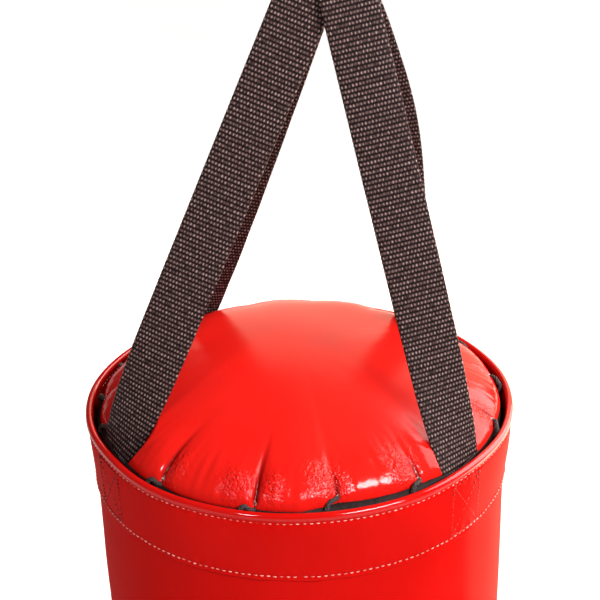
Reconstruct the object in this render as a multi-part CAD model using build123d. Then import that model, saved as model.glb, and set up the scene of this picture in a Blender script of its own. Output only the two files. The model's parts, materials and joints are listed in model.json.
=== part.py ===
from build123d import *
from math import asin, atan2, cos, degrees, pi, radians, sin, sqrt
import os

# A hanging heavy bag: a stuffed vinyl cylinder closed by a laced lid, carried by two crossed
# webbing straps on a D-ring, under a swivel. Millimetres, +Z up. The origin is the centre of
# the swivel's upper eye, where the bag is hung. The bag's own pieces are drawn about the bag's
# axis with z = 0 at the rim, and then moved to where they hang.

GAP = 0.1                 # between layers that are sewn face to face
RUN_GAP = 0.3             # between pieces that move on each other

# Bag body
BAG_R = 152.5
BAG_LENGTH = 914.0
SHELL_T = 1.2
SHELL_TOP_Z = -5.2
BASE_T = 1.6
WELT_R = 2.5              # piping round the base

# Collar band folded over the rim
BAND_T = 1.2
BAND_BOTTOM_Z = -55.0
FOLD_R = 150.0            # inner face of the folded-in part
FOLD_BOTTOM_Z = -14.0
ROLL_R = 155.0            # widest point of the rolled rim
ROLL_Z = -6.0

# Black tape between the rim and the lid
TAPE_OUTER_R = 149.9
TAPE_INNER_R = 143.6
TAPE_TOP_Z = -3.4
TAPE_BEND_Z = -8.6
NOTCH_OUTER_R = 148.9     # where the tape makes way for a strap
NOTCH_BOTTOM_Z = -9.3

# Lid and filling
LID_R = 140.0
LID_RISE = 42.0
LID_SHOULDER_R = 24.0
LID_EDGE_Z = -6.0
LID_T = 1.4
LID_NOTCH_R = 123.5       # where the lid makes way for a strap
FILL_NECK_R = 144.0       # beside the sewn strap ends
FILL_CROWN_R = 122.0      # inside the ring of lacing
FILL_SHOULDER_Z = -54.0
FILL_GROOVE_Z = -16.0
FILL_GAP = 0.3

# Lacing
CORD_R = 1.7
LID_HOLE_R = 2.3
TAPE_HOLE_R = 2.1
LACE_LID_R = 134.5        # ring of holes in the lid
LACE_TAPE_R = 146.3       # ring of holes in the tape
LACE_LEAN = 3.2           # degrees round the rim from a lid hole to its tape hole
LACE_UNDER_Z = -11.5
LACE_OVER_Z = 12.5
LACE_KNOT_R = 4.5
LACE_AZIMUTHS = (174, 150, 121, 97, 72, 34, 10, -12, -40, -72, -89, -108, -126, -162)

# Straps: azimuth 0 is the front (-Y), positive towards +X
STRAP_W = 38.0
STRAP_T = 2.6
STRAP_SEWN_R = 146.0
STRAP_END_Z = -50.0
STRAP_LEAVES_Z = -14.0
STRAP_AZIMUTHS = {"front_left": -60.0, "front_right": 47.0, "back_left": -140.0, "back_right": 136.0}
STRAP_TWIST_POWER = 4     # most of the twist is close above the rim
BAR_OFFSET = 28.0         # the ring hangs this far to +X of the bag's axis
BAR_RISE = 336.0          # from the rim up to the ring's bar

# Thread
THREAD_T = 0.5
THREAD_W = 0.9
BOX_W = 30.0
BOX_TOP_Z = -8.0
BOX_BOTTOM_Z = -50.0
RIM_STITCH_Z = -7.0
BAND_STITCH_Z = -51.5
BASE_STITCH_RISE = 7.0
SEAM_STITCH_X = 4.0       # each side of the shell's back seam
SEAM_STITCH_END = 9.0     # short of the base and of the band

# Ring and swivel
WIRE_R = 4.0
CROWN_R = 31.0
RING_SIDE = 6.0
EYE_BORE_R = 9.0
EYE_OUTER_R = 16.0
EYE_T = 8.0
EDGE_BEVEL = 1.2
BARREL_R = 12.0
BARREL_TOP_Z = -13.0
BARREL_BOTTOM_Z = -40.0
CAVITY_R = 8.5
CAVITY_TOP_Z = -22.0
CAP_T = 5.0
STEM_R = 4.0
STEM_BORE_GAP = 0.05
STEM_HEAD_R = 7.5
STEM_HEAD_T = 5.4
WASHER_R = 8.2
WASHER_T = 1.5
LOWER_EYE_R = 12.0
LOWER_EYE_WIRE_R = 3.5
LOWER_EYE_Z = -62.0

# Where things hang
LOWER_WIRE_Z = LOWER_EYE_Z - LOWER_EYE_R
CROWN_TOP_Z = LOWER_WIRE_Z + LOWER_EYE_WIRE_R + WIRE_R + RUN_GAP
CROWN_Z = CROWN_TOP_Z - CROWN_R
BAR_Z = CROWN_Z - RING_SIDE
HANG_TILT = degrees(atan2(BAR_OFFSET, BAR_RISE + BAG_LENGTH / 2))
HANG = Pos(0, 0, BAR_Z) * Rot(0, -HANG_TILT, 0) * Pos(-BAR_OFFSET, 0, -BAR_RISE)
INNER_WRAP_R = WIRE_R + RUN_GAP + STRAP_T / 2
OUTER_WRAP_R = INNER_WRAP_R + STRAP_T + RUN_GAP


def polar(radius, azimuth, z):
    """A point on the bag, with azimuth 0 at the front."""
    angle = radians(azimuth)
    return Vector(radius * sin(angle), -radius * cos(angle), z)


def tangent(azimuth):
    angle = radians(azimuth)
    return Vector(cos(angle), sin(angle), 0)


def turned(points):
    """The solid that a closed outline of (radius, z) points sweeps round the axis."""
    outline = Polyline(*points, close=True)
    return revolve(Plane.XZ * make_face(outline), Axis.Z)


def tube(inner_r, outer_r, bottom_z, top_z):
    return turned([(inner_r, bottom_z), (outer_r, bottom_z), (outer_r, top_z), (inner_r, top_z)])


def disc(radius, bottom_z, top_z):
    return Pos(0, 0, bottom_z) * extrude(Circle(radius), top_z - bottom_z)


# ---- bag ----

def outer_shell():
    return tube(BAG_R - SHELL_T, BAG_R, -BAG_LENGTH + BASE_T, SHELL_TOP_Z)


def base_panel():
    return disc(BAG_R - WELT_R, -BAG_LENGTH, -BAG_LENGTH + BASE_T - GAP)


def base_welt():
    """Piping in the seam where the shell meets the base."""
    ring = Pos(0, 0, -BAG_LENGTH + WELT_R) * Torus(BAG_R + WELT_R / 2, WELT_R)
    return ring - disc(BAG_R + GAP, -BAG_LENGTH - 1, 1 - BAG_LENGTH + 2 * WELT_R)


def collar_band():
    """Vinyl band outside the shell, rolled over the rim and folded down inside."""
    outer_r = BAG_R + GAP + BAND_T
    fold_outer_r = FOLD_R + BAND_T
    top = SHELL_TOP_Z + GAP
    middle_r = (outer_r + FOLD_R) / 2
    outside = Polyline((BAG_R + GAP, BAND_BOTTOM_Z), (outer_r, BAND_BOTTOM_Z), (outer_r, ROLL_Z))
    over = ThreePointArc((outer_r, ROLL_Z), (ROLL_R, ROLL_Z / 2), (middle_r, 0))
    inwards = ThreePointArc((middle_r, 0), (FOLD_R + 0.3, ROLL_Z / 3), (FOLD_R, ROLL_Z))
    inside = Polyline(
        (FOLD_R, ROLL_Z), (FOLD_R, FOLD_BOTTOM_Z), (fold_outer_r, FOLD_BOTTOM_Z), (fold_outer_r, top),
        (BAG_R + GAP, top), (BAG_R + GAP, BAND_BOTTOM_Z))
    return revolve(Plane.XZ * make_face([outside, over, inwards, inside]), Axis.Z)


def strap_notches(inner_r, outer_r, bottom_z):
    """Blocks that clear the four straps from a ring, from inner_r to outer_r."""
    block = Pos(0, -(inner_r + outer_r) / 2, 0) * Box(STRAP_W + 5, outer_r - inner_r, -2 * bottom_z)
    return [Rot(0, 0, azimuth) * block for azimuth in STRAP_AZIMUTHS.values()]


def rim_tape():
    """Black tape, sewn flat inside the rim and leaning in towards the lid, with its openings."""
    sewn_t = 0.9
    slope = Vector(TAPE_INNER_R - TAPE_OUTER_R, TAPE_TOP_Z - TAPE_BEND_Z).normalized()
    edge = Vector(TAPE_INNER_R, TAPE_TOP_Z) - Vector(slope.Y, -slope.X)
    tape = turned([
        (TAPE_OUTER_R, FOLD_BOTTOM_Z), (TAPE_OUTER_R, TAPE_BEND_Z), (TAPE_INNER_R, TAPE_TOP_Z),
        (edge.X, edge.Y), (TAPE_OUTER_R - sewn_t, TAPE_BEND_Z - 0.6), (TAPE_OUTER_R - sewn_t, FOLD_BOTTOM_Z)])
    tape -= strap_notches(TAPE_INNER_R - 5, NOTCH_OUTER_R, NOTCH_BOTTOM_Z)
    for azimuth in LACE_AZIMUTHS:
        hole = disc(TAPE_HOLE_R, TAPE_BEND_Z - 3, 0)
        tape -= Pos(polar(LACE_TAPE_R, azimuth - LACE_LEAN, 0)) * hole
    return tape


def dome_outline(inset, end_r):
    """Crown and shoulder arcs of the lid, set in from its outer face, out to a given radius."""
    shoulder_x = LID_R - LID_SHOULDER_R
    crown_r = (shoulder_x ** 2 + LID_RISE ** 2 - LID_SHOULDER_R ** 2) / (2 * (LID_RISE - LID_SHOULDER_R))
    crown_z = LID_EDGE_Z + LID_RISE - crown_r
    steep = degrees(atan2(shoulder_x, LID_EDGE_Z - crown_z))
    shoulder_r = LID_SHOULDER_R - inset
    end = degrees(asin(min(1, (end_r - shoulder_x) / shoulder_r)))
    crown = CenterArc((0, crown_z), crown_r - inset, 90, -steep)
    shoulder = CenterArc((shoulder_x, LID_EDGE_Z), shoulder_r, 90 - steep, steep - end)
    return crown, shoulder


def lid_panel():
    outer = dome_outline(0, LID_R)
    inner = dome_outline(LID_T, LID_R - LID_T)
    edge = Line(outer[1] @ 1, inner[1] @ 1)
    centre = Line(inner[0] @ 0, outer[0] @ 0)
    lid = revolve(Plane.XZ * make_face([*outer, edge, inner[1], inner[0], centre]), Axis.Z)
    for azimuth in LACE_AZIMUTHS:
        lid -= Pos(polar(LACE_LID_R, azimuth, LID_EDGE_Z)) * extrude(Circle(LID_HOLE_R), LID_RISE)
    return lid - strap_notches(LID_NOTCH_R, BAG_R, -LID_RISE / 2)


def fill_core():
    """Packed textile, with a neck beside the strap ends and a groove under the lacing."""
    crown, shoulder = dome_outline(LID_T + FILL_GAP, FILL_CROWN_R)
    body_r = BAG_R - SHELL_T - FILL_GAP
    bottom_z = BASE_T - BAG_LENGTH
    sides = Polyline(
        shoulder @ 1, (FILL_CROWN_R, FILL_GROOVE_Z), (FILL_NECK_R, FILL_GROOVE_Z),
        (FILL_NECK_R, FILL_SHOULDER_Z), (body_r, FILL_SHOULDER_Z), (body_r, bottom_z), (0, bottom_z),
        crown @ 0)
    return revolve(Plane.XZ * make_face([crown, shoulder, sides]), Axis.Z)


# ---- lacing ----

def lace_points():
    """The cord's corners: up through the lid, over the edge, down through the tape, along to the next."""
    points = [polar(LACE_LID_R + 1, LACE_AZIMUTHS[0] + 12, LACE_UNDER_Z)]
    radii = []
    for azimuth in LACE_AZIMUTHS:
        down = azimuth - LACE_LEAN
        points += [
            polar(LACE_LID_R, azimuth, LACE_UNDER_Z),
            polar(LACE_LID_R, azimuth, LACE_OVER_Z),
            polar(LACE_LID_R + 5, azimuth - 1.2, LACE_OVER_Z),
            polar(LACE_TAPE_R, down, -0.5),
            polar(LACE_TAPE_R, down, LACE_UNDER_Z),
            polar(LACE_LID_R + 2.5, down - 4.8, LACE_UNDER_Z)]
        radii += [4, 3, 4, 4, 3.5, 5]
    return points, radii[:-1]


def lace_cord():
    points, radii = lace_points()
    path = FilletPolyline(*points, radius=radii)
    cord = sweep(Plane(origin=path @ 0, z_dir=path % 0) * Circle(CORD_R), path=path)
    middle = (points[0] + points[-1]) * 0.5
    return cord, Pos(middle) * Sphere(LACE_KNOT_R), path


# ---- straps ----

def strap_leg(name):
    """One leg, from its sewn end inside the rim up to the ring's bar."""
    azimuth = STRAP_AZIMUTHS[name]
    side = -1 if name.startswith("front") else 1
    wrap_r = INNER_WRAP_R if name in ("front_left", "back_right") else OUTER_WRAP_R
    foot = polar(STRAP_SEWN_R, azimuth, STRAP_LEAVES_Z)
    top = Vector(BAR_OFFSET, side * wrap_r, BAR_RISE)
    turn = azimuth if side < 0 else azimuth - (180 if azimuth > 0 else -180)
    run = (foot - top).normalized()
    level = radians(HANG_TILT)
    leaves = Plane(origin=top, x_dir=(cos(level), 0, -sin(level)), z_dir=(-sin(level), 0, -cos(level)))
    sections = [leaves * Rectangle(STRAP_W, STRAP_T)]
    for share in (0.15, 0.45, 0.65, 0.8, 0.9):
        across = tangent(turn * share ** STRAP_TWIST_POWER)
        across = across - run * across.dot(run)
        plane = Plane(origin=top + (foot - top) * share, x_dir=across, z_dir=run)
        sections.append(plane * Rectangle(STRAP_W, STRAP_T))
    for z in (STRAP_LEAVES_Z, STRAP_END_Z):
        plane = Plane(origin=polar(STRAP_SEWN_R, azimuth, z), x_dir=tangent(turn), z_dir=(0, 0, -1))
        sections.append(plane * Rectangle(STRAP_W, STRAP_T))
    return loft(sections, ruled=True)


def strap(front, back, wrap_r):
    """A whole strap: down inside the rim at the front, over the bar, down at the back."""
    ring = Circle(wrap_r + STRAP_T / 2) - Circle(wrap_r - STRAP_T / 2)
    over = extrude(Plane.YZ * ring, STRAP_W / 2, both=True)
    over &= Pos(0, 0, wrap_r) * Box(2 * STRAP_W, 4 * wrap_r, 2 * wrap_r)
    level = Pos(BAR_OFFSET, 0, BAR_RISE) * Rot(0, HANG_TILT, 0)
    return level * over + strap_leg(front) + strap_leg(back)


# ---- thread ----

def thread_ring(radius, z):
    return tube(radius, radius + THREAD_T, z - THREAD_W / 2, z + THREAD_W / 2)


def box_stitch(azimuth):
    """Box with a cross, sewn through the band, the shell and a strap's end."""
    height = BOX_TOP_Z - BOX_BOTTOM_Z
    diagonal = sqrt(BOX_W ** 2 + height ** 2)
    lean = degrees(atan2(height, BOX_W))
    outline = Rectangle(BOX_W, height) - Rectangle(BOX_W - 2 * THREAD_W, height - 2 * THREAD_W)
    line = Rectangle(diagonal - 2, THREAD_W)
    cross = Rot(0, 0, lean) * line + Rot(0, 0, -lean) * line
    pattern = outline + (cross & Rectangle(BOX_W, height))
    middle = polar(0, azimuth, (BOX_TOP_Z + BOX_BOTTOM_Z) / 2)
    facing = Plane(origin=middle, x_dir=tangent(azimuth), z_dir=polar(1, azimuth, 0))
    outer_r = BAG_R + GAP + BAND_T
    return extrude(facing * pattern, 2 * BAG_R) & tube(outer_r, outer_r + THREAD_T, BAND_BOTTOM_Z, 0)


def seam_stitches():
    """Two rows of thread down the shell's back seam."""
    rows = []
    for side in (-1, 1):
        row = Box(THREAD_W, THREAD_T, BAG_LENGTH + BAND_BOTTOM_Z - 2 * SEAM_STITCH_END)
        middle_z = (BAND_BOTTOM_Z - BAG_LENGTH) / 2
        rows.append(Pos(side * SEAM_STITCH_X, BAG_R + THREAD_T / 2, middle_z) * row)
    return Compound(children=rows)


# ---- ring and swivel ----

def strap_ring():
    """Welded D-ring: a straight bar below, a round crown above."""
    crown = CenterArc((0, CROWN_Z), CROWN_R, 0, 180)
    bar_end = CROWN_R - RING_SIDE
    bend_x = CROWN_R - RING_SIDE * (1 - cos(radians(45)))
    bend_z = CROWN_Z - RING_SIDE * sin(radians(45))
    left = ThreePointArc((-CROWN_R, CROWN_Z), (-bend_x, bend_z), (-bar_end, BAR_Z))
    bar = Line((-bar_end, BAR_Z), (bar_end, BAR_Z))
    right = ThreePointArc((bar_end, BAR_Z), (bend_x, bend_z), (CROWN_R, CROWN_Z))
    path = Plane.XZ * Wire([crown, left, bar, right])
    return sweep(Plane(origin=(CROWN_R, 0, CROWN_Z), z_dir=(0, 0, 1)) * Circle(WIRE_R), path=path)


def swivel_housing():
    disc_eye = Cylinder(EYE_OUTER_R, EYE_T)
    eye = Rot(90, 0, 0) * chamfer(disc_eye.edges().filter_by(GeomType.CIRCLE), EDGE_BEVEL)
    bore = Rot(90, 0, 0) * Cylinder(EYE_BORE_R, 2 * EYE_T)
    plain_barrel = disc(BARREL_R, BARREL_BOTTOM_Z, BARREL_TOP_Z)
    barrel = chamfer(plain_barrel.edges().filter_by(GeomType.CIRCLE), EDGE_BEVEL)
    return eye + barrel - bore - disc(CAVITY_R, BARREL_BOTTOM_Z, CAVITY_TOP_Z)


def swivel_cap():
    """Ring pressed into the barrel, which keeps the stem in."""
    cap_top = BARREL_BOTTOM_Z + CAP_T
    return tube(STEM_R + STEM_BORE_GAP, CAVITY_R - 0.02, BARREL_BOTTOM_Z, cap_top)


def thrust_washer():
    bottom = BARREL_BOTTOM_Z + CAP_T
    return tube(STEM_R + STEM_BORE_GAP, WASHER_R, bottom + 0.02, bottom + WASHER_T)


def swivel_stem():
    """Headed pin with a closed eye below."""
    head_z = BARREL_BOTTOM_Z + CAP_T + WASHER_T + RUN_GAP / 3
    stem = disc(STEM_R, LOWER_EYE_Z + LOWER_EYE_R, head_z) + disc(STEM_HEAD_R, head_z, head_z + STEM_HEAD_T)
    return stem + Pos(0, 0, LOWER_EYE_Z) * Rot(0, 90, 0) * Torus(LOWER_EYE_R, LOWER_EYE_WIRE_R)


def write(name, shape):
    export_step(shape, "parts/" + name + ".step")


os.makedirs("parts", exist_ok=True)

band_r = BAG_R + GAP + BAND_T
cord, knot, cord_path = lace_cord()
bag_pieces = {
    "outer_shell": outer_shell(),
    "base_panel": base_panel(),
    "base_welt": base_welt(),
    "collar_band": collar_band(),
    "rim_tape": rim_tape(),
    "lid_panel": lid_panel(),
    "fill_core": fill_core(),
    "lace_cord": cord + knot,
    "strap_left": strap("front_left", "back_right", INNER_WRAP_R),
    "strap_right": strap("front_right", "back_left", OUTER_WRAP_R),
    "strap_stitching": Compound(children=[box_stitch(a) for a in STRAP_AZIMUTHS.values()]),
    "rim_stitching": thread_ring(band_r, RIM_STITCH_Z),
    "band_stitching": thread_ring(band_r, BAND_STITCH_Z),
    "base_stitching": thread_ring(BAG_R, -BAG_LENGTH + BASE_STITCH_RISE),
    "back_seam_stitching": seam_stitches(),
}
for name, piece in bag_pieces.items():
    write(name, HANG * piece)

write("strap_ring", strap_ring())
write("swivel_housing", swivel_housing())
write("swivel_cap", swivel_cap())
write("thrust_washer", thrust_washer())
write("swivel_stem", swivel_stem())

straight_length = cord.volume / (pi * CORD_R ** 2)
print("lacing: path", round(cord_path.length, 1), "mm, volume over section", round(straight_length, 1), "mm")
print("bar z", BAR_Z, "lower eye's bottom wire z", LOWER_WIRE_Z, "tilt", round(HANG_TILT, 3), "degrees")
for z in (0, -BAG_LENGTH):
    print("bag axis at", z, "hangs at", (HANG * Pos(0, 0, z)).position)
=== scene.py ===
import bpy
import json
import math
import numpy as np
from mathutils import Matrix, Vector


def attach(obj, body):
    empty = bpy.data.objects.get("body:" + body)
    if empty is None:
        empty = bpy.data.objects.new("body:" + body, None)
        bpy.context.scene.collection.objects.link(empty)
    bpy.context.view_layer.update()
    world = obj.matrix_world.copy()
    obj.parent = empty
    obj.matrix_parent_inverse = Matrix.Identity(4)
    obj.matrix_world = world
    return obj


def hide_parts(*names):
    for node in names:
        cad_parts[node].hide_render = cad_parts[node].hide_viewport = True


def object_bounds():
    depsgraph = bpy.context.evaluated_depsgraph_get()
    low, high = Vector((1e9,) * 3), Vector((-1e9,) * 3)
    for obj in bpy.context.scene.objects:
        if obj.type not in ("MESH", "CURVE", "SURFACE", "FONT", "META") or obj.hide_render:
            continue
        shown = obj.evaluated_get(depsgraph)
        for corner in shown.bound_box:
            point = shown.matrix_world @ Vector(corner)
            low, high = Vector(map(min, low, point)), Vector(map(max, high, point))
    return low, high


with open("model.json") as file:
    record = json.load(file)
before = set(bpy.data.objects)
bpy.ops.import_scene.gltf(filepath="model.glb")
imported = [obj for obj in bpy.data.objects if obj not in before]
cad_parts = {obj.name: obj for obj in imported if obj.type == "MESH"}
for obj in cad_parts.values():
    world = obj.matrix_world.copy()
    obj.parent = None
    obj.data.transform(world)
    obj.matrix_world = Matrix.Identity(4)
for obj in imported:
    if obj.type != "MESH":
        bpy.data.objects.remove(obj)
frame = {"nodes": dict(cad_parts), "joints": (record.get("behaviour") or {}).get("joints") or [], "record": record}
cad_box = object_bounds()

# A hanging heavy bag. The bag's own pieces are made in its own frame, in millimetres, with z = 0
# at the rim and +z up the bag's axis, and BAG places them where the CAD model hangs.
MM = 0.001
BAG_LENGTH = 914.0
MOUNTS = {m["name"]: m for m in frame["record"]["mounts"]}
BAG_UP = -Vector(MOUNTS["base_face"]["axis"]).normalized()
BAG_RIM = Vector(MOUNTS["base_face"]["pos_m"]) + BAG_UP * BAG_LENGTH * MM
BAG_BACK = Vector((0, 1, 0))
BAG_RIGHT = BAG_BACK.cross(BAG_UP)
BAG = Matrix.Translation(BAG_RIM) @ Matrix((BAG_RIGHT, BAG_BACK, BAG_UP)).transposed().to_4x4()
RNG = np.random.default_rng(11)

# Sizes shared by several pieces. They are the CAD model's, but the webbing is thinner than there,
# because its weave stands out from it, and the back seam's two rows are closer together.
SHELL_R = 152.5
BAND_R = 153.8
BAND_BOTTOM_Z = -55.0
FOLD_R = 150.0
ROLL_R = 155.0
STRAP_W = 38.0
STRAP_T = 2.4
STRAP_AZIMUTHS = {"front_left": -60.0, "front_right": 47.0, "back_left": -140.0, "back_right": 136.0}
LACE_AZIMUTHS = (174, 150, 121, 97, 72, 34, 10, -12, -40, -72, -89, -108, -126, -162)
STITCH_PITCH = 4.4
RIM_STITCH_Z = -7.0
BAND_STITCH_Z = -51.5
BASE_STITCH_RISE = 7.0     # above the base
SEAM_STITCH_X = 3.2        # each side of the shell's back seam


# ---- helpers

def smooth(x, low, high):
    """0 up to low, 1 from high on, and a soft step between."""
    t = np.clip((np.asarray(x, float) - low) / (high - low), 0, 1)
    return t * t * (3 - 2 * t)


def bell(x, width):
    """1 at 0, falling off softly over about a width on each side."""
    return np.exp(-(np.asarray(x, float) / width) ** 2)


def around(a, b):
    """Signed difference of two azimuths, in degrees."""
    return (np.asarray(a, float) - b + 180) % 360 - 180


def aside(azimuth, centre, r):
    """Signed distance round the bag from an azimuth."""
    return np.radians(around(azimuth, centre)) * r


def polar(r, azimuth, z):
    """Points on the bag; azimuth 0 is the front and positive is to the right."""
    a = np.radians(azimuth)
    return np.stack(np.broadcast_arrays(r * np.sin(a), -r * np.cos(a), z), -1).astype(float)


def ripple(azimuth, waves, seed, amplitude=1.0):
    """A smooth random curve round the bag, made of a few whole waves."""
    rng = np.random.default_rng(seed)
    a = np.radians(azimuth)
    total = np.zeros_like(a, dtype=float)
    for n in waves:
        total = total + np.cos(n * a + rng.uniform(0, 2 * np.pi)) * rng.uniform(0.5, 1)
    return amplitude * total / math.sqrt(len(waves))


def lumps(u, v, seed, count=24, low=0.4, high=1.6):
    """Smooth random relief over a sheet: a sum of slanted waves, about -1 to 1."""
    rng = np.random.default_rng(seed)
    total = np.zeros(np.broadcast(u, v).shape)
    for _ in range(count):
        k = rng.uniform(low, high)
        t = rng.uniform(0, 2 * np.pi)
        total = total + np.cos(k * (np.cos(t) * u + np.sin(t) * v) + rng.uniform(0, 2 * np.pi))
    return total / math.sqrt(count)


def spokes(azimuth, r, waves, seed):
    """Fine creases that run inwards: many whole waves round the bag, drifting with radius."""
    rng = np.random.default_rng(seed)
    total = np.zeros(np.broadcast(azimuth, r).shape)
    for n in waves:
        phase = rng.uniform(0, 2 * np.pi)
        drift = rng.uniform(-0.12, 0.12)
        total = total + np.cos(n * np.radians(azimuth) + phase + drift * r)
    return total / math.sqrt(len(waves))


def grid_cells(rows, cols, close_rows):
    """The row and column of each cell of a grid that is closed across, and maybe along."""
    return np.arange(rows if close_rows else rows - 1)[:, None], np.arange(cols)[None, :]


def grid_faces(rows, cols, close_rows=False, start=0, flip=False):
    """The four-sided faces of such a grid; flip turns them to the other side."""
    i, j = grid_cells(rows, cols, close_rows)
    i2, j2 = (i + 1) % rows, (j + 1) % cols
    quads = [i * cols + j, i * cols + j2, i2 * cols + j2, i2 * cols + j]
    faces = np.stack(np.broadcast_arrays(*quads), -1).reshape(-1, 4) + start
    return (faces[:, ::-1] if flip else faces).tolist()


def add_to_scene(name, data):
    obj = bpy.data.objects.new(name, data)
    bpy.context.collection.objects.link(obj)
    return obj


def make_piece(name, points, faces, material, slot_name, *nodes):
    """A smooth piece of the bag, from points in its millimetres, in place of its CAD nodes."""
    mesh = bpy.data.meshes.new(name)
    mesh.from_pydata((np.asarray(points).reshape(-1, 3) * MM).tolist(), [], faces)
    mesh.shade_smooth()
    mesh.materials.append(material)
    obj = add_to_scene(name, mesh)
    obj.matrix_world = BAG
    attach(obj, "bag")
    if nodes:
        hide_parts(*nodes)
    return obj


def face_uvs(obj, rows, cols, close_rows, u, v):
    """The Weave map of a grid mesh: u by column and v by row, both unwrapped."""
    i, j = grid_cells(rows, cols, close_rows)
    corners = []
    for di, dj in ((0, 0), (0, 1), (1, 1), (1, 0)):
        corners.append(np.stack(np.broadcast_arrays(u[j + dj], v[i + di]), -1))
    flat = np.stack(corners, 2).reshape(-1)
    layer = obj.data.uv_layers.new(name="Weave")
    values = np.zeros(len(obj.data.loops) * 2)
    values[:flat.size] = flat
    layer.data.foreach_set("uv", values)


def resample(points, step):
    """Points at an even spacing along a polyline, with the distance of each."""
    points = np.asarray(points, float)
    along = np.concatenate([[0], np.cumsum(np.linalg.norm(np.diff(points, axis=0), axis=1))])
    s = np.linspace(0, along[-1], int(along[-1] / step) + 1)
    return np.stack([np.interp(s, along, points[:, k]) for k in range(points.shape[1])], -1), s


def soften(values, passes):
    """Averages each value with its neighbours, several times; the two ends stay."""
    values = np.array(values, float)
    for _ in range(passes):
        values[1:-1] = (values[:-2] + 2 * values[1:-1] + values[2:]) / 4
    return values


def unit(v):
    """The same directions, each of length 1."""
    return v / np.linalg.norm(v, axis=-1, keepdims=True)


# ---- materials

def new_material(name):
    material = bpy.data.materials.new(name)
    material.use_nodes = True
    return material, material.node_tree, material.node_tree.nodes["Principled BSDF"]


def add(tree, kind, inputs=(), **settings):
    """A shader node with its settings, and its inputs as values or as sockets to link from."""
    n = tree.nodes.new("ShaderNode" + kind)
    for key, value in settings.items():
        setattr(n, key, value)
    for key, value in dict(inputs).items():
        if isinstance(value, bpy.types.NodeSocket):
            tree.links.new(value, n.inputs[key])
        else:
            n.inputs[key].default_value = value
    return n


def coordinates(tree, scale=(1, 1, 1), uv=None):
    """Object coordinates, or a named map's, stretched."""
    if uv:
        source = add(tree, "UVMap", uv_map=uv).outputs["UV"]
    else:
        source = add(tree, "TexCoord").outputs["Object"]
    return add(tree, "Mapping", {"Vector": source, "Scale": scale}).outputs["Vector"]


def noise(tree, vector, scale, detail=3.0, rough=0.5):
    inputs = {"Vector": vector, "Scale": scale, "Detail": detail, "Roughness": rough}
    return add(tree, "TexNoise", inputs).outputs["Fac"]


def cells(tree, vector, scale):
    return add(tree, "TexVoronoi", {"Vector": vector, "Scale": scale}).outputs["Distance"]


def calc(tree, operation, a, b=0.5, c=0.5):
    return add(tree, "Math", {0: a, 1: b, 2: c}, operation=operation).outputs[0]


def half_wave(tree, value):
    """0 at every whole number and 1 half-way between two."""
    return calc(tree, "SINE", calc(tree, "MULTIPLY", calc(tree, "FRACT", value), math.pi))


def spread(tree, value, from_low, from_high, to_low, to_high):
    """Maps one range of values on another and holds it at the ends."""
    inputs = {
        "Value": value, "From Min": from_low, "From Max": from_high, "To Min": to_low, "To Max": to_high}
    return add(tree, "MapRange", inputs).outputs["Result"]


def colours(tree, factor, *stops):
    """A colour ramp through (position, (r, g, b)) stops."""
    ramp = add(tree, "ValToRGB", {"Fac": factor})
    points = ramp.color_ramp.elements
    while len(points) < len(stops):
        points.new(0.5)
    for point, (position, rgb) in zip(points, stops):
        point.position = position
        point.color = (*rgb, 1)
    return ramp.outputs["Color"]


def bumps(tree, *layers):
    """Stacked bump nodes from (height, distance in millimetres, strength)."""
    normal = None
    for height, distance, strength in layers:
        inputs = {"Height": height, "Distance": distance * MM, "Strength": strength}
        if normal is not None:
            inputs["Normal"] = normal
        normal = add(tree, "Bump", inputs).outputs["Normal"]
    return normal


def shade(tree, bsdf, colour, roughness, normal=None, **constants):
    """Links what varies over the surface and sets what doesn't on the shader's own sockets."""
    tree.links.new(colour, bsdf.inputs["Base Color"])
    tree.links.new(roughness, bsdf.inputs["Roughness"])
    if normal is not None:
        tree.links.new(normal, bsdf.inputs["Normal"])
    for key, value in constants.items():
        bsdf.inputs[key.replace("_", " ")].default_value = value


# Painted shade: the dark red that the lid's colour turns to along the bottom of its long front creases
CREASE_SHADE_RED = (0.09, 0.001, 0.001, 1)
RIM_GLOSS_Z = (-0.006, -0.002)     # metres: the rim's roll is polished above this stretch


def lacing_marks(tree, bsdf, here, colour, coat_roughness):
    """Fine creases of the laced lid, painted shade at the bottom of its long front creases, and a coat that is
    sharper towards its edge.
    """
    mask = add(tree, "Attribute", attribute_name="crinkle").outputs["Fac"]
    creases = calc(tree, "MULTIPLY", noise(tree, here, 330.0, 2.0, 0.5), mask)
    crumbs = calc(tree, "MULTIPLY", cells(tree, here, 620.0), mask)
    place = add(tree, "VectorMath", {0: here}, operation="LENGTH").outputs["Value"]
    near_edge = calc(tree, "POWER", calc(tree, "MULTIPLY", place, 7.2), 4.0)
    near_edge = calc(tree, "MINIMUM", near_edge, 1.0)
    blur = calc(tree, "MULTIPLY_ADD", near_edge, -0.145, coat_roughness + 0.105)
    tree.links.new(blur, bsdf.inputs["Coat Roughness"])
    # Painted shade: the colour is mixed towards the dark red where the lid's crease-shade attribute is 1
    crease_shade = add(tree, "Attribute", attribute_name="crease_shade").outputs["Fac"]
    shaded_colour = add(tree, "Mix", {"Factor": crease_shade, 6: colour, 7: CREASE_SHADE_RED}, data_type="RGBA")
    return shaded_colour.outputs[2], [(creases, 2.2, 1.0), (crumbs, 0.6, 1.0)]


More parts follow.
